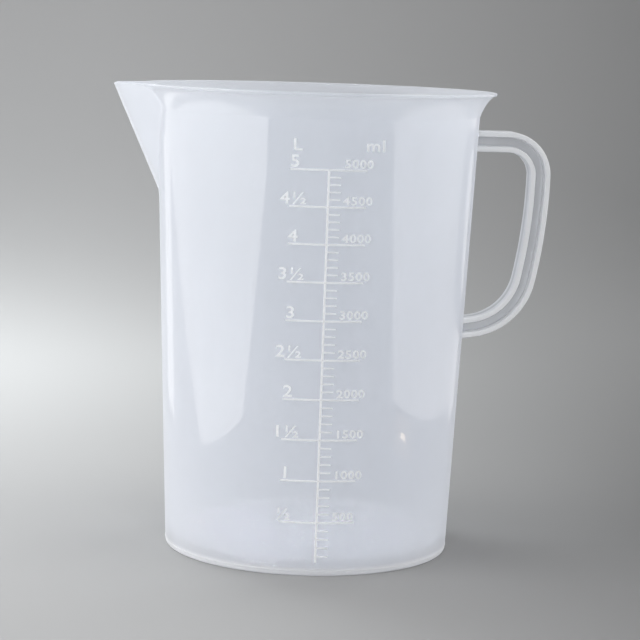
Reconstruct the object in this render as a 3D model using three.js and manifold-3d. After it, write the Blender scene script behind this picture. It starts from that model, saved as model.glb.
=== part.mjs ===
// Five-litre measuring jug, injection moulded in natural polypropylene.
//
// Millimetres, +Z up. The origin is on the jug's axis, on the surface that it stands on.
// The spout points along -X, the handle along +X, and the raised scale faces -Y.
// The real jug is one moulding: each feature of it is a solid of its own here, and where one
// feature is cut by the next, a clearance is left between the two.
import * as THREE from "three";
import { ConvexGeometry } from "three/addons/geometries/ConvexGeometry.js";
import { mergeVertices } from "three/addons/utils/BufferGeometryUtils.js";
import Module from "manifold-3d";

const wasm = await Module();
wasm.setup();

// Vessel
const height = 267.7;
const wall = 2.2;
const baseRadius = 82.58; // outer radius of the wall, carried down to the table
const taper = 0.0404; // radius gained for each millimetre of height
const footWidth = 4;
const footCorner = 1.7;
const floorBottom = 3.5;
const floorTop = 6.5;
const gateFace = 1.2;
const gateRadius = 4;
const clearance = 0.3;
const around = 72; // facets round the vessel

// Flared rim
const rimBottom = 250;
const lipRadius = 102.2;
const lipThickness = 1.4;

// Spout: a V of two flat walls that lean out to a narrow nose
const spoutBottom = 206.4;
const noseAtBottom = 90.9;
const noseAtTop = 118.5;
const noseRadius = 2.5;
const spoutHalfAngle = Math.PI / 4;

// Handle: an I-section along one line of three bends
const handleTop = 239.55; // height of the straight upper arm's centreline
const handleReach = 110.43; // where that arm starts to bend
const handleBends = [[19.06, 90.33], [312.96, 11.24], [35.77, 70.15]]; // radius and degrees
const handleTail = 9; // straight run of the lower arm into the wall
const handleDepth = 5.9; // half of the section, across the line of the handle
const flangeThickness = 3.1;
const flangeWidth = 15;
const webThickness = 3;

// Raised scale
const fullMark = 5000; // ml
const markStep = 500;
const tickStep = 100;
const markHalfLength = 21.5;
const markWidth = 1.1;
const tickLength = 6.8;
const tickWidth = 0.9;
const spineWidth = 1.4;
const relief = 0.5;

const outerRadius = (z) => baseRadius + taper * z;
const innerRadius = (z) => outerRadius(z) - wall;
const radians = THREE.MathUtils.degToRad;

// ---- Solids -------------------------------------------------------------------------------------

function solidFrom(geometry) {
  const bare = geometry.clone();
  bare.deleteAttribute("normal");
  bare.deleteAttribute("uv");
  const merged = mergeVertices(bare, 1e-4);
  return new wasm.Manifold(new wasm.Mesh({
    numProp: 3,
    vertProperties: new Float32Array(merged.attributes.position.array),
    triVerts: new Uint32Array(merged.index.array),
  }));
}

// Turns an outline of [radius, height] points about Z. It runs up its outer side.
function turned(outline, facets = around) {
  const points = outline.map(([r, z]) => new THREE.Vector2(r, z));
  if (outline[0][0] > 0) points.push(points[0].clone());
  return solidFrom(new THREE.LatheGeometry(points, facets).rotateX(Math.PI / 2));
}

// Extrudes a shape drawn in X and Z by a width centred on Y = 0.
function plate(shape, width) {
  const geometry = new THREE.ExtrudeGeometry(shape, {
    depth: width, bevelEnabled: false, curveSegments: 6,
  });
  return solidFrom(geometry.rotateX(Math.PI / 2).translate(0, width / 2, 0));
}

function block(x0, x1, y0, y1, z0, z1) {
  const geometry = new THREE.BoxGeometry(x1 - x0, y1 - y0, z1 - z0);
  return solidFrom(geometry.translate((x0 + x1) / 2, (y0 + y1) / 2, (z0 + z1) / 2));
}

// ---- Vessel -------------------------------------------------------------------------------------

function footOutline() {
  const inner = outerRadius(0) - footWidth;
  const corner = [0, 30, 60, 90].map((degrees) => {
    const a = radians(degrees);
    return [outerRadius(0) - footCorner * (1 - Math.sin(a)), footCorner * (1 - Math.cos(a))];
  });
  return [[inner, 0], ...corner, [outerRadius(floorBottom), floorBottom], [inner, floorBottom]];
}

// The flare leaves the wall along its slope and ends almost level, at the lip.
function flareLine(start, end, rise, run, drop) {
  const curve = new THREE.CubicBezierCurve(
    start, new THREE.Vector2(start.x + taper * rise, start.y + rise),
    new THREE.Vector2(end.x - run, end.y - drop), end);
  return curve.getPoints(7).map((p) => [p.x, p.y]);
}

const flareOutside = flareLine(
  new THREE.Vector2(outerRadius(rimBottom), rimBottom),
  new THREE.Vector2(lipRadius, height - lipThickness), 6.9, 3.5, 0.25);
const flareInside = flareLine(
  new THREE.Vector2(innerRadius(rimBottom), rimBottom),
  new THREE.Vector2(lipRadius - lipThickness / 2, height), 8.6, 4.4, 0.15);

function rimOutline() {
  const lip = [[lipRadius, height - lipThickness / 2]];
  return [...flareOutside, ...lip, ...flareInside.toReversed()];
}

// All the space inside the vessel, from under the floor to past the lip
function vesselSpace() {
  const below = [[0, -1], [innerRadius(-1), -1]];
  const above = [[lipRadius, height + 1], [0, height + 1]];
  return turned([...below, ...flareInside, ...above]);
}

// A cone that follows the wall's outside, larger by the clearance
function wallWithClearance() {
  const radius = (z) => outerRadius(z) + clearance;
  return turned([[0, 0], [radius(0), 0], [radius(rimBottom), rimBottom], [0, rimBottom]]);
}

// ---- Spout --------------------------------------------------------------------------------------

const noseSlope = (noseAtTop - noseAtBottom) / (height - spoutBottom);
const noseReach = (z) => noseAtBottom + noseSlope * (z - spoutBottom);

// The wedge between the two leaning walls, moved inwards by an inset, from one height to another
function spoutWedge(inset, bottom, top) {
  const radius = noseRadius - inset;
  const sine = Math.sin(spoutHalfAngle);
  const lean = Math.hypot(1 / sine, noseSlope); // reach lost for each millimetre of inset
  const points = [];
  for (const z of [bottom, top]) {
    const apex = noseReach(z) + noseRadius * (1 / sine - 1) - inset * lean;
    const back = 50;
    const half = (apex - back) * Math.tan(spoutHalfAngle);
    points.push(new THREE.Vector3(-back, half, z), new THREE.Vector3(-back, -half, z));
    for (const degrees of [-45, -22.5, 0, 22.5, 45]) {
      const a = radians(degrees);
      points.push(new THREE.Vector3(radius / sine - apex - radius * Math.cos(a), radius * Math.sin(a), z));
    }
  }
  return solidFrom(new ConvexGeometry(points));
}

const beyond = 5; // how far a cutter runs past what it cuts
const spoutCutter = spoutWedge(-clearance, spoutBottom - clearance, height + beyond);
const spout = spoutWedge(0, spoutBottom, height)
  .subtract(spoutWedge(wall, spoutBottom - beyond, height + beyond))
  .subtract(vesselSpace());

// ---- Handle -------------------------------------------------------------------------------------

// Centre, radius and turning angles of each bend. Headings are clockwise from +X.
function handleArcs() {
  const arcs = [];
  let [x, z, heading] = [handleReach, handleTop, 0];
  for (const [radius, degrees] of handleBends) {
    const [cx, cz] = [x - radius * Math.sin(heading), z - radius * Math.cos(heading)];
    const next = heading + radians(degrees);
    arcs.push({ cx, cz, radius, from: Math.PI / 2 - heading, to: Math.PI / 2 - next });
    [x, z, heading] = [cx + radius * Math.sin(next), cz + radius * Math.cos(next), next];
  }
  return { arcs, end: { x, z, heading } };
}

// The band between two lines that follow the handle, the first one further out
function handleBand(outer, inner) {
  const { arcs, end } = handleArcs();
  const root = innerRadius(handleTop);
  const tail = (offset) => [
    end.x + handleTail * Math.cos(end.heading) + offset * Math.sin(end.heading),
    end.z - handleTail * Math.sin(end.heading) + offset * Math.cos(end.heading),
  ];
  const band = new THREE.Shape();
  band.moveTo(root, handleTop + outer);
  for (const a of arcs) band.absarc(a.cx, a.cz, a.radius + outer, a.from, a.to, true);
  band.lineTo(...tail(outer));
  band.lineTo(...tail(inner));
  for (const a of arcs.toReversed()) band.absarc(a.cx, a.cz, a.radius + inner, a.to, a.from, false);
  band.lineTo(root, handleTop + inner);
  return band;
}

function handlePiece(outer, inner, width) {
  return plate(handleBand(outer, inner), width).subtract(wallWithClearance());
}

// ---- Scale --------------------------------------------------------------------------------------

// Height of the surface of a given volume of liquid, standing on the floor of the cone
function levelOf(millilitres) {
  const r = innerRadius(floorTop);
  const cubed = r ** 3 + (3 * taper * millilitres * 1000) / Math.PI;
  return floorTop + (Math.cbrt(cubed) - r) / taper;
}

// One section of the scale: its long mark, four short ticks, and the spine that joins them
function scaleSection(mark, shell) {
  const level = levelOf(mark);
  const lastTick = mark - markStep + tickStep;
  const foot = mark > markStep
    ? levelOf(mark - markStep) + markWidth / 2 + clearance
    : levelOf(lastTick) - tickWidth / 2;
  const bar = (x0, x1, z0, z1) => block(x0, x1, -lipRadius, 0, z0, z1);
  let section = bar(-markHalfLength, markHalfLength, level - markWidth / 2, level + markWidth / 2);
  section = section.add(bar(-spineWidth / 2, spineWidth / 2, foot, level));
  for (let volume = lastTick; volume < mark; volume += tickStep) {
    const z = levelOf(volume);
    section = section.add(bar(0, tickLength, z - tickWidth / 2, z + tickWidth / 2));
  }
  return section.intersect(shell);
}

function reliefShell() {
  const inside = (z) => outerRadius(z) + clearance;
  const outside = (z) => inside(z) + relief;
  const [low, high] = [floorTop, rimBottom];
  return turned([[inside(low), low], [outside(low), low], [outside(high), high], [inside(high), high]]);
}

// ---- Assembly -----------------------------------------------------------------------------------

function piece(name, solid, color, roughness) {
  const { vertProperties, triVerts } = solid.getMesh();
  const geometry = new THREE.BufferGeometry();
  geometry.setAttribute("position", new THREE.BufferAttribute(vertProperties, 3));
  geometry.setIndex(new THREE.BufferAttribute(triVerts, 1));
  geometry.computeVertexNormals();
  const material = new THREE.MeshStandardMaterial({ color, roughness, metalness: 0 });
  const mesh = new THREE.Mesh(geometry, material);
  mesh.name = name;
  return mesh;
}

function group(members) {
  return new THREE.Group().add(...members);
}

const wallCone = turned([
  [innerRadius(floorTop), floorTop], [outerRadius(floorTop), floorTop],
  [outerRadius(rimBottom), rimBottom], [innerRadius(rimBottom), rimBottom],
]);
const floorDisc = turned([
  [0, floorBottom], [outerRadius(floorBottom), floorBottom], [outerRadius(floorTop), floorTop], [0, floorTop],
]);
const gate = turned([
  [0, gateFace], [gateRadius - 0.8, gateFace], [gateRadius, floorBottom], [0, floorBottom],
], 24);

const vessel = group([
  piece("body_wall", wallCone.subtract(spoutCutter), 0xc5cad5, 0.14),
  piece("base_floor", floorDisc, 0xbabec8, 0.2),
  piece("foot_ring", turned(footOutline()), 0xaaafb5, 0.2),
  piece("gate_stub", gate, 0xbabec8, 0.35),
  piece("flared_rim", turned(rimOutline()).subtract(spoutCutter), 0xd6dae0, 0.14),
  piece("pouring_spout", spout, 0xe3e5ea, 0.14),
]);

const webEdge = handleDepth - flangeThickness;
const handle = group([
  piece("handle_outer_flange", handlePiece(handleDepth, webEdge, flangeWidth), 0xcacbcc, 0.16),
  piece("handle_inner_flange", handlePiece(-webEdge, -handleDepth, flangeWidth), 0xcacbcc, 0.16),
  piece("handle_web", handlePiece(webEdge - clearance, clearance - webEdge, webThickness), 0xaab0b6, 0.16),
]);

const shell = reliefShell();
const sections = [];
for (let mark = fullMark; mark > 0; mark -= markStep) {
  sections.push(piece(`scale_${mark}_ml`, scaleSection(mark, shell), 0xe4e7ee, 0.2));
}

export default group([vessel, handle, group(sections)]);
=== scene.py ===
import bpy, math
from mathutils import Matrix, Vector


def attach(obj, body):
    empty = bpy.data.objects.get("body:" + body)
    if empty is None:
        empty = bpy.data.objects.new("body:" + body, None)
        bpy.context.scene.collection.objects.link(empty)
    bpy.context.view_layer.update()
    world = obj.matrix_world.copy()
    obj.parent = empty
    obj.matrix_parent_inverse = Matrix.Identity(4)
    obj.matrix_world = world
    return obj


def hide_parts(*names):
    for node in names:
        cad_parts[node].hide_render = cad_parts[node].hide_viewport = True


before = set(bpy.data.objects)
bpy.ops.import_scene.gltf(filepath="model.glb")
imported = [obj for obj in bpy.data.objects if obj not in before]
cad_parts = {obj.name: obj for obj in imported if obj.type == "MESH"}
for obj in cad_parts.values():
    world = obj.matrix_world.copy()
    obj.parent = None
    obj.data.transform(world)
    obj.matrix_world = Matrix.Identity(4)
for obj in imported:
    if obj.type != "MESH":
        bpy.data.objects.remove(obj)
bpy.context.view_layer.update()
mm = 0.001


# nodes from Python: a Value wraps an output socket, and sums on it add Math nodes
class Value:
    def __init__(self, maker, socket):
        self.maker, self.socket = maker, socket

    def math(self, operation, *others):
        return self.maker.math(operation, self, *others)

    def output(self, name):
        return Value(self.maker, self.socket.node.outputs[name])

    def __add__(self, other):
        return self.math("ADD", other)

    def __sub__(self, other):
        return self.math("SUBTRACT", other)

    def __mul__(self, other):
        return self.math("MULTIPLY", other)

    def __truediv__(self, other):
        return self.math("DIVIDE", other)

    def __pow__(self, other):
        return self.math("POWER", other)

    def __mod__(self, other):
        return self.math("MODULO", other)

    def __gt__(self, other):
        return self.math("GREATER_THAN", other)

    def __lt__(self, other):
        return self.math("LESS_THAN", other)

    def __neg__(self):
        return self.maker.math("SUBTRACT", 0.0, self)

    def __rsub__(self, other):
        return self.maker.math("SUBTRACT", other, self)

    def __rtruediv__(self, other):
        return self.maker.math("DIVIDE", other, self)

    __radd__, __rmul__ = __add__, __mul__


class Maker:
    def __init__(self, tree):
        self.tree = tree

    def node(self, kind, settings=None, inputs=None, output=0):
        made = self.tree.nodes.new(kind)
        for name, value in (settings or {}).items():
            setattr(made, name, value)
        for name, value in (inputs or {}).items():
            for part in value if isinstance(value, list) else [value]:
                if isinstance(part, Value):
                    self.tree.links.new(part.socket, made.inputs[name])
                else:
                    made.inputs[name].default_value = part
        return Value(self, made.outputs[output]) if made.outputs else made

    def math(self, operation, *values):
        return self.node("ShaderNodeMath", {"operation": operation}, dict(enumerate(values)))

    def clamp(self, value):
        return self.node("ShaderNodeClamp", None, {"Value": value})

    def mixColour(self, share, first, second):
        return self.node("ShaderNodeMix", {"data_type": "RGBA"}, {0: share, 6: first, 7: second}, 2)

    def mixShader(self, share, first, second):
        return self.node("ShaderNodeMixShader", None, {0: share, 1: first, 2: second})

    def noise(self, where, scale, detail, roughness, distortion=0.0):
        return self.node("ShaderNodeTexNoise", None, {
            "Vector": where, "Scale": scale, "Detail": detail,
            "Roughness": roughness, "Distortion": distortion})


def addObject(name, data):
    made = bpy.data.objects.new(name, data)
    bpy.context.scene.collection.objects.link(made)
    return made


# a geometry tree with named inputs for its sizes
def geometryTree(name, sizes):
    tree = bpy.data.node_groups.new(name, "GeometryNodeTree")
    tree.interface.new_socket("Geometry", in_out="INPUT", socket_type="NodeSocketGeometry")
    for label, value in sizes.items():
        kind = "NodeSocketInt" if isinstance(value, int) else "NodeSocketFloat"
        tree.interface.new_socket(label, in_out="INPUT", socket_type=kind)
    tree.interface.new_socket("Geometry", in_out="OUTPUT", socket_type="NodeSocketGeometry")
    maker = Maker(tree)
    return maker, maker.node("NodeGroupInput")


def finishTree(maker, geometry, material):
    whole = maker.node("GeometryNodeRealizeInstances", None, {"Geometry": geometry})
    finished = maker.node("GeometryNodeSetMaterial", None, {"Geometry": whole, "Material": material})
    maker.node("NodeGroupOutput", None, {"Geometry": finished})


# runs a tree on a source mesh and keeps what it makes as a plain mesh
def grow(name, source, maker, sizes):
    carrier = addObject(name + "Source", source)
    modifier = carrier.modifiers.new("shape", "NODES")
    modifier.node_group = maker.tree
    for item in maker.tree.interface.items_tree:
        if item.in_out == "INPUT" and item.name in sizes:
            modifier[item.identifier] = sizes[item.name]
    ready = carrier.evaluated_get(bpy.context.evaluated_depsgraph_get())
    mesh = bpy.data.meshes.new_from_object(ready)
    bpy.data.objects.remove(carrier)
    bpy.data.meshes.remove(source)
    return addObject(name, mesh)


def arc(centreX, centreZ, radius, start, end, steps):
    angles = [math.radians(start + (end - start) * i / steps) for i in range(steps + 1)]
    return [(centreX + radius * math.cos(a), centreZ + radius * math.sin(a)) for a in angles]


def bezier(points, steps):
    line = []
    for i in range(steps + 1):
        t = i / steps
        weights = [(1 - t) ** 3, 3 * t * (1 - t) ** 2, 3 * t * t * (1 - t), t ** 3]
        line.append(tuple(sum(w * p[axis] for w, p in zip(weights, points)) for axis in (0, 1)))
    return line


# natural polypropylene: a milky body, clear enough to show a ghost of what is behind it
# low and high are its colours at the foot and at the rim: a milky tint with painted shade, lighter at the
# foot and darker at the rim, and high also tints the light from behind; clear is how see-through a thin part
# is and thickClear a thick one, and glow is the share of its light that comes from behind
plastic = {
    "wall": {"low": (0.96, 0.965, 0.985, 1), "high": (0.825, 0.845, 0.885, 1),
             "clear": 0.64, "thickClear": 0.46, "glow": 0.45, "gloss": 0.03},
    "grip": {"low": (0.975, 0.978, 0.985, 1), "high": (0.785, 0.795, 0.81, 1),
             "clear": 0.66, "thickClear": 0.12, "glow": 0.45, "gloss": 0.09},
    "scale": {"low": (0.99, 0.995, 1.0, 1), "high": (0.94, 0.96, 0.98, 1),
              "clear": 0.08, "glow": 0.16, "gloss": 0.16},
    "height": 0.268, "edgeClear": 0.05, "thickGlowLoss": 0.7, "clearTint": (0.97, 0.98, 1, 1),
    "mirror": 0.04, "grazing": 0.16, "sheen": 0.45, "sheenRoughness": 0.35, "roughness": 0.6,
    "cloudScale": 14.0, "peelScale": 95.0, "grainScale": 900.0, "scuffScale": 260.0,
    "cloudTint": 0.5, "cloudClear": 0.12, "orangePeel": 0.02, "grainShare": 0.12, "bumpStrength": 0.35,
    "scuffFrom": 0.56, "scuffEdge": 4.0, "scuffRoughness": 0.05, "edgeBlend": 0.35, "shineEdge": 5.0,
}

# where the moulding is thick, in mm
thickParts = {
    "footTop": 5.2, "footFade": 1.8, "cornerTop": 10.5, "cornerFade": 2.0, "cornerRadii": (74.0, 82.2),
    "keelHalf": 2.6, "keelFade": 1.6, "keelFrom": -91.5, "webHalf": 1.8, "webFade": 1.5,
}


# thick says where the plastic is thick, so that it is milkier: a function of the maker and the place
def plasticMaterial(name, kind, thick=None):
    p, finish = plastic, plastic[kind]
    material = bpy.data.materials.new(name)
    material.use_nodes = True
    material.node_tree.nodes.clear()
    maker = Maker(material.node_tree)
    where = maker.node("ShaderNodeTexCoord", None, None, "Object")
    cloud = maker.noise(where, p["cloudScale"], 3.0, 0.55, 0.4)
    peel = maker.noise(where, p["peelScale"], 2.0, 0.5)
    grain = maker.noise(where, p["grainScale"], 2.0, 0.6)
    scuffs = maker.noise(where, p["scuffScale"], 4.0, 0.7)
    scuffs = maker.clamp((scuffs - p["scuffFrom"]) * p["scuffEdge"])
    bump = maker.node("ShaderNodeBump", None, {
        "Strength": p["bumpStrength"], "Distance": p["orangePeel"] * mm,
        "Height": peel + grain * p["grainShare"]})
    # painted shade: the colour goes from the low tint at the foot to the darker high one at the rim, stirred
    # by the cloud
    height = maker.node("ShaderNodeSeparateXYZ", None, {0: where}).output("Z") / p["height"]
    paintedShadeUpwards = maker.clamp(height + (cloud - 0.5) * p["cloudTint"])
    tintWithPaintedShade = maker.mixColour(paintedShadeUpwards, finish["low"], finish["high"])
    body = maker.node("ShaderNodeBsdfPrincipled", None, {
        "Base Color": tintWithPaintedShade, "Roughness": p["roughness"], "Specular IOR Level": 0.0, "Normal": bump,
        "Sheen Weight": p["sheen"], "Sheen Roughness": p["sheenRoughness"]})
    soft = maker.node("ShaderNodeBsdfTranslucent", None, {"Color": finish["high"], "Normal": bump})
    share, glow = finish["clear"], finish["glow"]
    if thick:
        depth = thick(maker, where)
        share = depth * (finish["thickClear"] - finish["clear"]) + finish["clear"]
        glow = glow - depth * (glow * p["thickGlowLoss"])
    milk = maker.mixShader(glow, body, soft)
    clear = maker.node("ShaderNodeBsdfTransparent", None, {"Color": p["clearTint"]})
    # light that goes through at a slant meets more plastic
    facing = maker.node("ShaderNodeLayerWeight", None, {"Blend": p["edgeBlend"]}, "Facing")
    share = (1.0 - facing) * (share - p["edgeClear"]) + p["edgeClear"]
    inner = maker.mixShader(share * ((0.5 - cloud) * p["cloudClear"] + 1.0), milk, clear)
    slant = maker.node("ShaderNodeLayerWeight", None, {"Blend": 0.5, "Normal": bump}, "Facing")
    shine = slant ** p["shineEdge"] * (p["grazing"] - p["mirror"]) + p["mirror"]
    skin = maker.node("ShaderNodeBsdfGlossy", None, {
        "Roughness": scuffs * p["scuffRoughness"] + finish["gloss"], "Normal": bump})
    maker.node("ShaderNodeOutputMaterial", None, {"Surface": maker.mixShader(shine, inner, skin)})
    return material


# the foot ring is a thick mass, and so are the corner inside over it and the keel of the spout
def footAndKeel(maker, where):
    t = thickParts
    place = maker.node("ShaderNodeSeparateXYZ", None, {0: where})
    height, across = place.output("Z"), place.output("Y").math("ABSOLUTE")
    foot = maker.clamp((t["footTop"] * mm - height) / (t["footFade"] * mm))
    radius = (place * place + across * across).math("SQRT")
    inner, outer = t["cornerRadii"]
    corner = (radius > inner * mm) * (radius < outer * mm)
    corner = corner * maker.clamp((t["cornerTop"] * mm - height) / (t["cornerFade"] * mm))
    keel = maker.clamp((t["keelHalf"] * mm - across) / (t["keelFade"] * mm)) * (place < t["keelFrom"] * mm)
    return foot.math("MAXIMUM", keel).math("MAXIMUM", corner)


# the flanges stick out sideways from the thin web
def offTheWeb(maker, where):
    across = maker.node("ShaderNodeSeparateXYZ", None, {0: where}).output("Y").math("ABSOLUTE")
    return maker.clamp((across - thickParts["webHalf"] * mm) / (thickParts["webFade"] * mm))


wallPlastic = plasticMaterial("milkyWallPlastic", "wall", footAndKeel)
handlePlastic = plasticMaterial("milkyHandlePlastic", "grip", offTheWeb)
scalePlastic = plasticMaterial("milkyScalePlastic", "scale")
print("plastic ready")


# the vessel: one outline turned about Z, pushed out into a V at the spout
vessel = {
    "height": 267.7, "wall": 2.2, "baseRadius": 82.58, "taper": 0.0404,
    "floorBottom": 3.5, "floorTop": 6.5, "floorFillet": 5.0,
    "footWidth": 4.0, "footCorner": 1.7, "footInnerCorner": 0.6, "footFillet": 1.0,
    "gateRadius": 4.0, "gateFace": 1.2, "gateTaper": 0.6, "gateCorner": 0.6, "gateFillet": 0.8,
    "bead": 0.18, "beadHeight": 3.0, "beadGap": 0.6,
    "rimBottom": 253.5, "innerRimBottom": 256.0, "flareRise": 6.0, "crease": 1.5,
    "lipRadius": 102.2, "lipThickness": 1.4, "lipLead": (3.5, 0.25), "innerLipLead": (4.4, 0.15),
    "spoutBottom": 206.4, "noseAtBottom": 90.9, "noseAtTop": 118.5, "noseTip": 1.04,
    "plainBelow": 160.0, "columns": 336, "crowding": 0.72, "blend": 1.3,
}


def outerRadius(z):
    return vessel["baseRadius"] + vessel["taper"] * z


def innerRadius(z):
    return outerRadius(z) - vessel["wall"]


def between(low, high, steps):
    return [low + (high - low) * i / steps for i in range(1, steps + 1)]


# the flare of the rim, from the cone up to the lip: lead is how the curve comes in to the lip
def flare(radiusAt, bottom, lip, lead):
    bend = bottom + vessel["flareRise"]
    return bezier([(radiusAt(bottom), bottom), (radiusAt(bend) + vessel["crease"], bend),
                   (lip[0] - lead[0], lip[1] - lead[1]), lip], 20)


def gateOutline():
    v = vessel
    radius, face, corner, fillet = v["gateRadius"], v["gateFace"], v["gateCorner"], v["gateFillet"]
    faceRadius = radius - v["gateTaper"] - corner
    return ([(0, face), (faceRadius, face)] + arc(faceRadius, face + corner, corner, -90, 0, 4)
            + arc(radius + fillet, v["floorBottom"] - fillet, fillet, 180, 90, 4))


def footOutline():
    v = vessel
    outer, corner, innerCorner, fillet = (
        outerRadius(0), v["footCorner"], v["footInnerCorner"], v["footFillet"])
    inner = outer - v["footWidth"]
    return ([(r, v["floorBottom"]) for r in between(v["gateRadius"] * 2, inner - fillet * 1.5, 8)]
            + arc(inner - fillet, v["floorBottom"] - fillet, fillet, 90, 0, 4)
            + arc(inner + innerCorner, innerCorner, innerCorner, 180, 270, 4)
            + arc(outer - corner, corner, corner, -90, 0, 8))


# (radius, height, inset): the inset is 0 on the outside of the wall and its thickness on the inside
def vesselOutline():
    v = vessel
    bead, gap, bottom = v["beadHeight"], v["beadGap"], v["rimBottom"]
    outside = gateOutline() + footOutline()
    outside.append((outerRadius(bead - gap), bead - gap))
    outside += arc(outerRadius(bead), bead, v["bead"], -80, 80, 6)
    outside.append((outerRadius(bead + gap), bead + gap))
    outside += [(outerRadius(z), z) for z in between(5, 200, 18) + between(200, bottom, 50)]
    lip = (v["lipRadius"], v["height"] - v["lipThickness"])
    outside += flare(outerRadius, bottom, lip, v["lipLead"])[1:]
    half = v["lipThickness"] / 2
    edge = arc(lip[0] - half, v["height"] - half, half, -60, 90, 7)
    innerLip, bottom = (lip[0] - half, v["height"]), v["innerRimBottom"]
    inside = flare(innerRadius, bottom, innerLip, v["innerLipLead"])[:-1][::-1]
    inside += [(innerRadius(z), z) for z in between(bottom, 200, 50) + between(200, 14, 17)]
    corner, floor = v["floorFillet"], v["floorTop"]
    inside += arc(innerRadius(floor + corner) - corner, floor + corner, corner, 0, -90, 7)
    inside += [(r, floor) for r in between(innerRadius(floor) - corner - 2, 0, 12)]
    rows = [(r, z, 0.0) for r, z in outside]
    for i, (r, z) in enumerate(edge):
        rows.append((r, z, v["wall"] * 0.5 * (1 - math.cos(math.pi * i / len(edge)))))
    return rows + [(r, z, v["wall"]) for r, z in inside]


def vesselMesh():
    mesh = bpy.data.meshes.new("vesselOutline")
    points = [(r * mm, inset * mm, z * mm) for r, z, inset in vesselOutline()]
    mesh.from_pydata(points, [(i, i + 1) for i in range(len(points) - 1)], [])
    return mesh


def buildVessel():
    v = vessel
    slope = (v["noseAtTop"] - v["noseAtBottom"]) / (v["height"] - v["spoutBottom"])
    sizes = {
        "Columns": v["columns"], "Crowding": v["crowding"], "Blend": v["blend"] * mm,
        "Spout bottom": v["spoutBottom"] * mm, "Nose reach": (v["noseAtBottom"] + v["noseTip"]) * mm,
        "Nose slope": slope, "Nose softness": v["noseTip"] / v["noseAtTop"],
        "Inset lean": math.hypot(math.sqrt(2), slope), "Plain below": v["plainBelow"] * mm,
    }
    maker, given = geometryTree("turnedVessel", sizes)
    outline = given.output("Geometry")
    rows = maker.node("GeometryNodeAttributeDomainSize", None, {"Geometry": outline}, "Point Count")
    columns = given.output("Columns")
    grid = maker.node("GeometryNodeMeshGrid", None, {"Vertices X": columns + 1, "Vertices Y": rows})
    index = maker.node("GeometryNodeInputIndex")
    place = maker.node("GeometryNodeSampleIndex", {"data_type": "FLOAT_VECTOR"}, {
        "Geometry": outline, "Value": maker.node("GeometryNodeInputPosition"), "Index": index % rows})
    radius = maker.node("ShaderNodeSeparateXYZ", None, {0: place})
    inset, z = radius.output("Y"), radius.output("Z")
    turn = (index / rows).math("FLOOR") * (2 * math.pi) / columns
    angle = turn - turn.math("SINE") * given.output("Crowding")
    fromNose = angle.math("MINIMUM", 2 * math.pi - angle).math("MINIMUM", math.pi / 4)
    apex = (z - given.output("Spout bottom")) * given.output("Nose slope") + given.output("Nose reach")
    apex = apex - inset * given.output("Inset lean")
    sine = (fromNose.math("SINE") ** 2.0 + given.output("Nose softness") ** 2.0).math("SQRT")
    reach = apex / (fromNose.math("COSINE") + sine)
    pushed = radius.math("SMOOTH_MAX", reach, given.output("Blend"))
    final = radius + (pushed - radius) * (z > given.output("Plain below"))
    moved = maker.node("ShaderNodeCombineXYZ", None, {
        "X": -(angle.math("COSINE") * final), "Y": -(angle.math("SINE") * final), "Z": z})
    shaped = maker.node("GeometryNodeSetPosition", None, {"Geometry": grid, "Position": moved})
    closed = maker.node("GeometryNodeMergeByDistance", None, {"Geometry": shaped, "Distance": 1e-6})
    smooth = maker.node("GeometryNodeSetShadeSmooth", None, {"Geometry": closed, "Shade Smooth": True})
    finishTree(maker, smooth, wallPlastic)
    return grow("vessel", vesselMesh(), maker, sizes)


vesselPiece = buildVessel()
print("vessel", len(vesselPiece.data.polygons), "faces")


# the handle: an I-section swept along a straight arm, three bends and a short tail
handle = {
    "top": 239.55, "reach": 110.43, "bends": [(19.06, 90.33), (312.96, 11.24), (35.77, 70.15)],
    "tail": 6.5, "depth": 5.9, "flange": 3.1, "width": 15.0, "web": 3.0,
    "corner": 0.7, "fillet": 0.6, "draft": 0.2, "bury": 1.4, "easing": 1.6,
}


# stations (x, z, heading), with headings clockwise from +X
def handlePath():
    h = handle
    x, z, heading = outerRadius(h["top"]) - h["bury"], h["top"], 0.0
    steps, tailSteps = 24, 12
    path = [(x + (h["reach"] - x) * (i / steps) ** h["easing"], z, 0.0) for i in range(steps)]
    x = h["reach"]
    for radius, degrees in h["bends"]:
        centreX, centreZ = x - radius * math.sin(heading), z - radius * math.cos(heading)
        count = 26 if degrees > 30 else 20
        for i in range(count):
            t = heading + math.radians(degrees) * i / count
            path.append((centreX + radius * math.sin(t), centreZ + radius * math.cos(t), t))
        heading += math.radians(degrees)
        x, z = centreX + radius * math.sin(heading), centreZ + radius * math.cos(heading)
    for i in range(tailSteps + 1):
        run = h["tail"] * (1 - (1 - i / tailSteps) ** h["easing"])
        path.append((x + run * math.cos(heading), z - run * math.sin(heading), heading))
    return path


# one quarter of the I, from the middle of the outer face to the middle of the web: (across, along Y)
def quarterSection():
    h = handle
    half, corner, fillet, draft = h["width"] / 2, h["corner"], h["fillet"], h["draft"]
    under = h["depth"] - h["flange"]
    line = [(h["depth"], 0), (h["depth"], half * 0.5)]
    line += [(x, y) for y, x in arc(half - corner, h["depth"] - corner, corner, 90, 0, 5)]
    line += [(x, y) for y, x in arc(half - corner * 0.7, under + corner * 0.7, corner * 0.7, 0, -90, 4)]
    root = h["web"] / 2
    line += [(x, y) for y, x in arc(root + fillet, under - draft - fillet, fillet, 90, 180, 6)]
    line.append((0, root))
    return line


def handleSection():
    quarter = quarterSection()
    upper = quarter + [(-x, y) for x, y in quarter[:-1]][::-1]
    return upper + [(x, -y) for x, y in upper[1:-1]][::-1]


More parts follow.
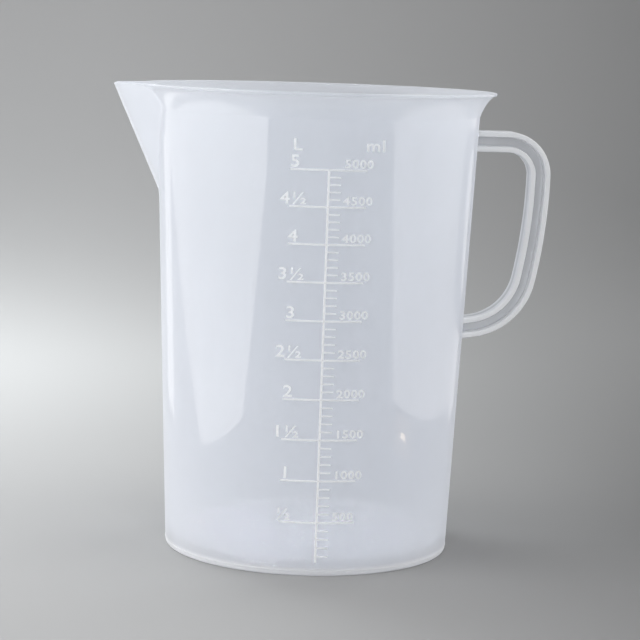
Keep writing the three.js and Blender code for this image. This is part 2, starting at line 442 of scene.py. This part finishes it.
def buildHandle():
    section = handleSection()
    points, faces = [], []
    path = handlePath()
    for x, z, heading in path:
        for across, along in section:
            points.append(((x + across * math.sin(heading)) * mm, along * mm,
                           (z + across * math.cos(heading)) * mm))
    count = len(section)
    for row in range(len(path) - 1):
        for i in range(count):
            a, b = row * count + i, row * count + (i + 1) % count
            faces.append((a, b, b + count, a + count))
    faces.append(tuple(range(count))[::-1])
    faces.append(tuple(range((len(path) - 1) * count, len(path) * count)))
    mesh = bpy.data.meshes.new("handle")
    mesh.from_pydata(points, [], faces)
    mesh.validate()
    mesh.shade_smooth()
    mesh.materials.append(handlePlastic)
    return addObject("handle", mesh)


handlePiece = buildHandle()
print("handle", len(handlePiece.data.polygons), "faces")


# the raised scale: a mark for every 100 ml, on a spine, wrapped round the cone
scale = {
    "marks": 50, "perLong": 5, "step": 100, "longHalf": 21.0, "short": 6.6,
    "longWidth": 1.1, "shortWidth": 0.85, "spineWidth": 1.4, "spineEnd": 8.0,
    "proud": 0.45, "bury": 0.35, "draft": 0.3,
}


def levelOf(millilitres):
    r = innerRadius(vessel["floorTop"])
    cubed = r ** 3 + 3 * vessel["taper"] * millilitres * 1000 / math.pi
    return vessel["floorTop"] + (cubed ** (1 / 3) - r) / vessel["taper"]


# bends flat work round the vessel's front: x runs along the wall, y stands out of it, z is height
def wrapped(maker, geometry):
    flat = maker.node("ShaderNodeSeparateXYZ", None, {0: maker.node("GeometryNodeInputPosition")})
    z = flat.output("Z")
    wallRadius = z * vessel["taper"] + vessel["baseRadius"] * mm
    angle, radius = flat / wallRadius, wallRadius - flat.output("Y")
    bent = maker.node("ShaderNodeCombineXYZ", None, {
        "X": angle.math("SINE") * radius, "Y": -(angle.math("COSINE") * radius), "Z": z})
    return maker.node("GeometryNodeSetPosition", None, {"Geometry": geometry, "Position": bent})


# a bar one unit long and high, narrower on the side that stands out
def bar(maker, alongX, alongZ):
    block = maker.node("GeometryNodeMeshCube", None, {
        "Size": (1, 1, 1), "Vertices X": alongX, "Vertices Y": 2, "Vertices Z": alongZ})
    flat = maker.node("ShaderNodeSeparateXYZ", None, {0: maker.node("GeometryNodeInputPosition")})
    draft = 1.0 - (flat.output("Y") < 0.0) * scale["draft"]
    z = flat.output("Z") * draft if alongX > alongZ else flat.output("Z")
    x = flat * draft if alongZ > alongX else flat
    narrowed = maker.node("ShaderNodeCombineXYZ", None, {"X": x, "Y": flat.output("Y"), "Z": z})
    return maker.node("GeometryNodeSetPosition", None, {"Geometry": block, "Position": narrowed})


def buildScale():
    s = scale
    sizes = {"Marks": s["marks"], "Long half": s["longHalf"] * mm, "Short": s["short"] * mm,
             "Long width": s["longWidth"] * mm, "Short width": s["shortWidth"] * mm,
             "Proud": s["proud"] * mm, "Bury": s["bury"] * mm, "Spine width": s["spineWidth"] * mm,
             "Spine end": s["spineEnd"] * mm}
    maker, given = geometryTree("raisedScale", sizes)
    thick = given.output("Proud") + given.output("Bury")
    sunk = (given.output("Bury") - given.output("Proud")) * 0.5
    number = maker.node("GeometryNodeInputIndex") + 1.0
    inside = innerRadius(vessel["floorTop"])
    cubed = number * (3 * vessel["taper"] * s["step"] * 1000 / math.pi) + inside ** 3
    level = (cubed ** (1 / 3) - inside) * (mm / vessel["taper"]) + vessel["floorTop"] * mm
    isLong = (number % float(s["perLong"])) < 0.5
    length = given.output("Short") + (given.output("Long half") * 2 - given.output("Short")) * isLong
    centre = given.output("Short") * 0.5 * (1 - isLong)
    width = given.output("Short width") + (
        given.output("Long width") - given.output("Short width")) * isLong
    places = maker.node("GeometryNodePoints", None, {
        "Count": given.output("Marks"),
        "Position": maker.node("ShaderNodeCombineXYZ", None, {"X": centre, "Y": sunk, "Z": level})})
    marks = maker.node("GeometryNodeInstanceOnPoints", None, {
        "Points": places, "Instance": bar(maker, 11, 2),
        "Scale": maker.node("ShaderNodeCombineXYZ", None, {"X": length, "Y": thick, "Z": width})})
    top, end = levelOf(s["marks"] * s["step"]) * mm, given.output("Spine end")
    spine = maker.node("GeometryNodeTransform", None, {
        "Geometry": bar(maker, 2, 40),
        "Translation": maker.node("ShaderNodeCombineXYZ", None, {"Y": sunk, "Z": (end + top) * 0.5}),
        "Scale": maker.node("ShaderNodeCombineXYZ", None, {
            "X": given.output("Spine width"), "Y": thick, "Z": top - end})})
    both = maker.node("GeometryNodeJoinGeometry", None, {"Geometry": [marks, spine]})
    whole = maker.node("GeometryNodeRealizeInstances", None, {"Geometry": both})
    finishTree(maker, wrapped(maker, whole), scalePlastic)
    return grow("raisedScale", bpy.data.meshes.new("scaleSeed"), maker, sizes)


scalePiece = buildScale()
print("scale", len(scalePiece.data.polygons), "faces")


# raised figures: litres over the left ends of the marks, millilitres over the right ends
figures = {
    "litreSize": 9.2, "millilitreSize": 6.3, "litreX": -18.4, "millilitreX": 8.2, "lift": 1.4,
    "headLift": 10.3, "litreHeadX": -17.4, "millilitreHeadX": 19.7, "stretch": 1.2, "spacing": 1.1,
    "bold": 0.12, "tinyEdge": 0.06, "proud": 0.4, "bury": 0.35,
}


def figureList():
    f = figures
    words = []
    for count in range(1, 11):
        z = levelOf(count * 500) + f["lift"]
        half = "½" if count % 2 else ""
        litres = (str(count // 2) if count > 1 else "") + half
        words.append((litres, f["litreSize"], f["litreX"], z, "CENTER"))
        words.append((str(count * 500), f["millilitreSize"], f["millilitreX"], z, "LEFT"))
    head = levelOf(5000) + f["headLift"]
    words.append(("L", f["litreSize"], f["litreHeadX"], head, "CENTER"))
    words.append(("ml", f["litreSize"], f["millilitreHeadX"], head, "LEFT"))
    return words


def meshOf(curve):
    carrier = addObject(curve.name, curve)
    ready = carrier.evaluated_get(bpy.context.evaluated_depsgraph_get())
    mesh = bpy.data.meshes.new_from_object(ready)
    bpy.data.objects.remove(carrier)
    return mesh


# the outlines of a word, without the tiny edges that would turn over when the strokes are made bolder
def wordLoops(text, size, side):
    word = bpy.data.curves.new("word", "FONT")
    word.body, word.size, word.align_x = text, size * mm, side
    word.space_character = figures["spacing"]
    word.resolution_u, word.fill_mode = 4, "NONE"
    mesh = meshOf(word)
    following = {edge.vertices[0]: edge.vertices[1] for edge in mesh.edges}
    loops = []
    while following:
        i = next(iter(following))
        loop = []
        while i in following:
            place = mesh.vertices[i].co.copy()
            if not loop or (place - loop[-1]).length > figures["tinyEdge"] * mm:
                loop.append(place)
            i = following.pop(i)
        loops.append(loop)
    return loops


# one word as a closed mesh, lying flat
def wordMesh(text, size, side):
    f = figures
    outline = bpy.data.curves.new("outline", "CURVE")
    outline.dimensions, outline.fill_mode = "2D", "BOTH"
    outline.offset, outline.extrude = f["bold"] * mm, (f["proud"] + f["bury"]) / 2 * mm
    for loop in wordLoops(text, size, side):
        spline = outline.splines.new("POLY")
        spline.points.add(len(loop) - 1)
        for point, place in zip(spline.points, loop):
            point.co = (place.x, place.y, 0, 1)
        spline.use_cyclic_u = True
    return meshOf(outline)


# all the words standing up, faces towards the front, each at its mark
def figureMesh():
    points, faces = [], []
    depth, stretch = (figures["bury"] - figures["proud"]) / 2 * mm, figures["stretch"]
    for text, size, x, z, side in figureList():
        mesh = wordMesh(text, size, side)
        first = len(points)
        points += [(v.co.x * stretch + x * mm, depth - v.co.z, v.co.y + z * mm) for v in mesh.vertices]
        faces += [tuple(first + i for i in face.vertices) for face in mesh.polygons]
        bpy.data.meshes.remove(mesh)
    mesh = bpy.data.meshes.new("words")
    mesh.from_pydata(points, [], faces)
    return mesh


def buildFigures():
    sizes = {"Weld": 0.002 * mm}
    maker, given = geometryTree("raisedFigures", sizes)
    closed = maker.node("GeometryNodeMergeByDistance", None, {
        "Geometry": given.output("Geometry"), "Distance": given.output("Weld")})
    finishTree(maker, wrapped(maker, closed), scalePlastic)
    return grow("raisedFigures", figureMesh(), maker, sizes)


figurePiece = buildFigures()
print("figures", len(figurePiece.data.polygons), "faces")

scaleNodes = ["scale_%d_ml" % (500 * i) for i in range(1, 11)]
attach(vesselPiece, "root")
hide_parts("body_wall", "base_floor", "foot_ring", "gate_stub", "flared_rim",
            "pouring_spout")
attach(handlePiece, "root")
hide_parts("handle_outer_flange", "handle_inner_flange", "handle_web")
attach(scalePiece, "root")
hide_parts(*scaleNodes)
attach(figurePiece, "root")


# studio: a pale round floor whose edge curves up into a wall, both with painted shade that darkens them
# towards +X
# each grey goes from the first to the second with the painted shade, and from the floor's to the wall's
# lighter ones with distance, as painted light on the far wall
studio = {
    "floor": (0.48, 0.205), "wall": (0.71, 0.38), "paintedLightFrom": 0.3, "paintedLightAt": 1.8,
    "paintedShadeFrom": -0.2, "paintedShadeWidth": 0.42, "paintedShadeSpread": 0.25, "paintedShadePower": 1.4, "roughness": 0.8,
    "radius": 2.4, "flatRadius": 0.8, "bend": (0.4, 0.6), "height": 2.0, "segments": 96,
}


def coveMaterial():
    s = studio
    material = bpy.data.materials.new("paleCove")
    material.use_nodes = True
    material.node_tree.nodes.clear()
    maker = Maker(material.node_tree)
    where = maker.node("ShaderNodeTexCoord", None, None, "Object")
    place = maker.node("ShaderNodeSeparateXYZ", None, {0: where})
    depth = place.output("Y")
    # painted shade: darker towards +X, the change spread wider far from the middle
    paintedShade = maker.clamp((place - s["paintedShadeFrom"]) / (depth.math("ABSOLUTE") * s["paintedShadeSpread"] + s["paintedShadeWidth"]))
    paintedShade = paintedShade ** s["paintedShadePower"]
    low = maker.mixColour(paintedShade, *[(grey, grey, grey, 1) for grey in s["floor"]])
    high = maker.mixColour(paintedShade, *[(grey, grey, grey, 1) for grey in s["wall"]])
    # painted light: lighter with distance from the middle, from the floor's greys to the wall's
    away = (place * place + depth * depth).math("SQRT")
    paintedLightFar = maker.node("ShaderNodeMapRange", {"interpolation_type": "SMOOTHSTEP"}, {
        "Value": away, "From Min": s["paintedLightFrom"], "From Max": s["paintedLightAt"]})
    paint = maker.node("ShaderNodeBsdfPrincipled", None, {
        "Base Color": maker.mixColour(paintedLightFar, low, high), "Roughness": s["roughness"],
        "Specular IOR Level": 0.0})
    # seen from below it is clear, so that it doesn't hide the underside
    behind = maker.node("ShaderNodeNewGeometry", None, None, "Backfacing")
    clear = maker.node("ShaderNodeBsdfTransparent")
    maker.node("ShaderNodeOutputMaterial", None, {"Surface": maker.mixShader(behind, paint, clear)})
    return material


def buildCove():
    s = studio
    line = [(r, 0.0) for r in (0.15, 0.4)]
    bendIn, bendUp = s["bend"]
    line += bezier([(s["flatRadius"], 0.0), (s["radius"] - bendIn, 0.0), (s["radius"], bendUp),
                    (s["radius"], s["height"])], 36)
    count = s["segments"]
    turns = [2 * math.pi * i / count for i in range(count)]
    points = [(r * math.cos(t), r * math.sin(t), z) for r, z in line for t in turns]
    faces = [tuple(range(count))]
    for row in range(len(line) - 1):
        for i in range(count):
            a, b = row * count + i, row * count + (i + 1) % count
            faces.append((a, a + count, b + count, b))
    mesh = bpy.data.meshes.new("cove")
    mesh.from_pydata(points, [], faces)
    mesh.shade_smooth()
    mesh.materials.append(coveMaterial())
    made = addObject("cove", mesh)
    return made


# a soft square light that shades the plastic and isn't mirrored in it
def softLight(name, place, target, size, power, colour=(1, 1, 1), spread=180):
    light = bpy.data.lights.new(name, "AREA")
    light.shape = "SQUARE"
    light.size = size
    light.energy, light.color = power, colour
    light.spread = math.radians(spread)
    made = addObject(name, light)
    made.location = place
    made.rotation_euler = (Vector(target) - Vector(place)).to_track_quat("-Z", "Y").to_euler()
    made.visible_camera = False
    made.visible_glossy = False
    return made


# a glowing sheet with any outline, which is only seen mirrored in glossy surfaces
def mirroredSheet(name, corners, strength, colour):
    mesh = bpy.data.meshes.new(name)
    mesh.from_pydata([Vector(c) * mm for c in corners], [], [tuple(range(len(corners)))])
    material = bpy.data.materials.new(name)
    material.use_nodes = True
    material.node_tree.nodes.clear()
    maker = Maker(material.node_tree)
    glow = maker.node("ShaderNodeEmission", None, {"Color": colour + (1,), "Strength": strength})
    maker.node("ShaderNodeOutputMaterial", None, {"Surface": glow})
    mesh.materials.append(material)
    made = addObject(name, mesh)
    made.visible_camera = False
    made.visible_diffuse = False
    made.visible_transmission = False
    made.visible_shadow = False
    return made


# outlines (y, z) in mm of the sheets to the left and right, each with a brighter strip behind it
panels = {
    "leftX": -300, "leftGlow": 2.9, "leftStripGlow": 3.7, "leftColour": (1.0, 0.985, 0.96),
    "left": [(-27, 8), (-240, 8), (-405, 165), (-405, 800), (190, 800), (190, 208)],
    "leftStrip": [(190, 10), (190, 800), (330, 800), (330, 10)],
    "rightX": 300, "rightGlow": 1.9, "rightStripGlow": 2.6, "rightColour": (1.0, 0.97, 0.96),
    "right": [(-208, 29), (-320, 240), (-320, 600), (190, 600), (190, 29)],
    "rightStrip": [(190, 10), (190, 700), (330, 700), (330, 10)],
}

# a small warm lamp and its halo: half width, half height and glow of each
lamp = {"x": 287, "y": -136, "z": 14, "colour": (1.0, 0.78, 0.55), "sheets": [(11, 2, 9.0), (40, 14, 0.8)]}

# place, target, size and power, then a colour and a spread where they aren't plain
lights = {
    "leftFill": ((-1.1, -0.4, 0.35), (0.0, 0.0, 0.10), 0.8, 7.8),
    "rightFill": ((1.1, -0.4, 0.4), (0.0, 0.0, 0.10), 0.8, 5.0),
    "frontFill": ((0.0, -1.8, 0.35), (0.0, 0.0, 0.10), 1.2, 18.4),
    "leftRim": ((-0.8, 0.75, 0.5), (0.0, 0.0, 0.13), 0.5, 2.2),
    "rightRim": ((0.9, 0.75, 0.5), (0.0, 0.0, 0.13), 0.5, 2.5),
    "topFill": ((0.0, -0.1, 1.3), (0.0, 0.0, 0.0), 0.9, 4.4),
    "insideFill": ((0.0, 0.0, 1.2), (0.0, 0.0, 0.0), 0.12, 0.035, (1, 1, 1), 6),
    "floorGlow": ((-0.42, 0.60, 0.6), (-0.40, 0.62, 0.0), 0.45, 4.0, (0.93, 0.98, 1.0)),
}
air = {"colour": (0.97, 0.98, 1, 1), "strength": 0.34}

buildCove()
for side in ("left", "right"):
    for name in (side, side + "Strip"):
        corners = [(panels[side + "X"], y, z) for y, z in panels[name]]
        mirroredSheet(name + "Panel", corners, panels[name + "Glow"], panels[side + "Colour"])
for i, (halfY, halfZ, glow) in enumerate(lamp["sheets"]):
    corners = [(lamp["x"] + i, lamp["y"] + a * halfY, lamp["z"] + b * halfZ)
               for a, b in ((-1, -1), (1, -1), (1, 1), (-1, 1))]
    mirroredSheet("smallLamp%d" % i, corners, glow, lamp["colour"])
for name, setting in lights.items():
    softLight(name, *setting)

world = bpy.data.worlds.new("studioAir")
world.use_nodes = True
background = world.node_tree.nodes["Background"]
background.inputs["Color"].default_value = air["colour"]
background.inputs["Strength"].default_value = air["strength"]
bpy.context.scene.world = world
bpy.context.scene.view_settings.view_transform = "Standard"

camera = {"place": (-89.7, -1246.8, 302.74), "heading": 4.325, "pitch": 7.756, "roll": 1.878,
          "lens": 121.44}


def buildCamera():
    c = camera
    heading, pitch, roll = (math.radians(c[k]) for k in ("heading", "pitch", "roll"))
    ahead = Vector((math.sin(heading) * math.cos(pitch), math.cos(heading) * math.cos(pitch),
                    -math.sin(pitch)))
    right = Vector((math.cos(heading), -math.sin(heading), 0))
    up = right.cross(ahead)
    tiltedRight = right * math.cos(roll) + up * math.sin(roll)
    tiltedUp = up * math.cos(roll) - right * math.sin(roll)
    data = bpy.data.cameras.new("camera")
    data.lens, data.sensor_width = c["lens"], 36
    data.clip_start, data.clip_end = 0.05, 20
    made = addObject("camera", data)
    turned = Matrix((tiltedRight, tiltedUp, -ahead)).transposed().to_4x4()
    made.matrix_world = Matrix.Translation(Vector(c["place"]) * mm) @ turned
    bpy.context.scene.camera = made
    return made


buildCamera()
print("studio ready")
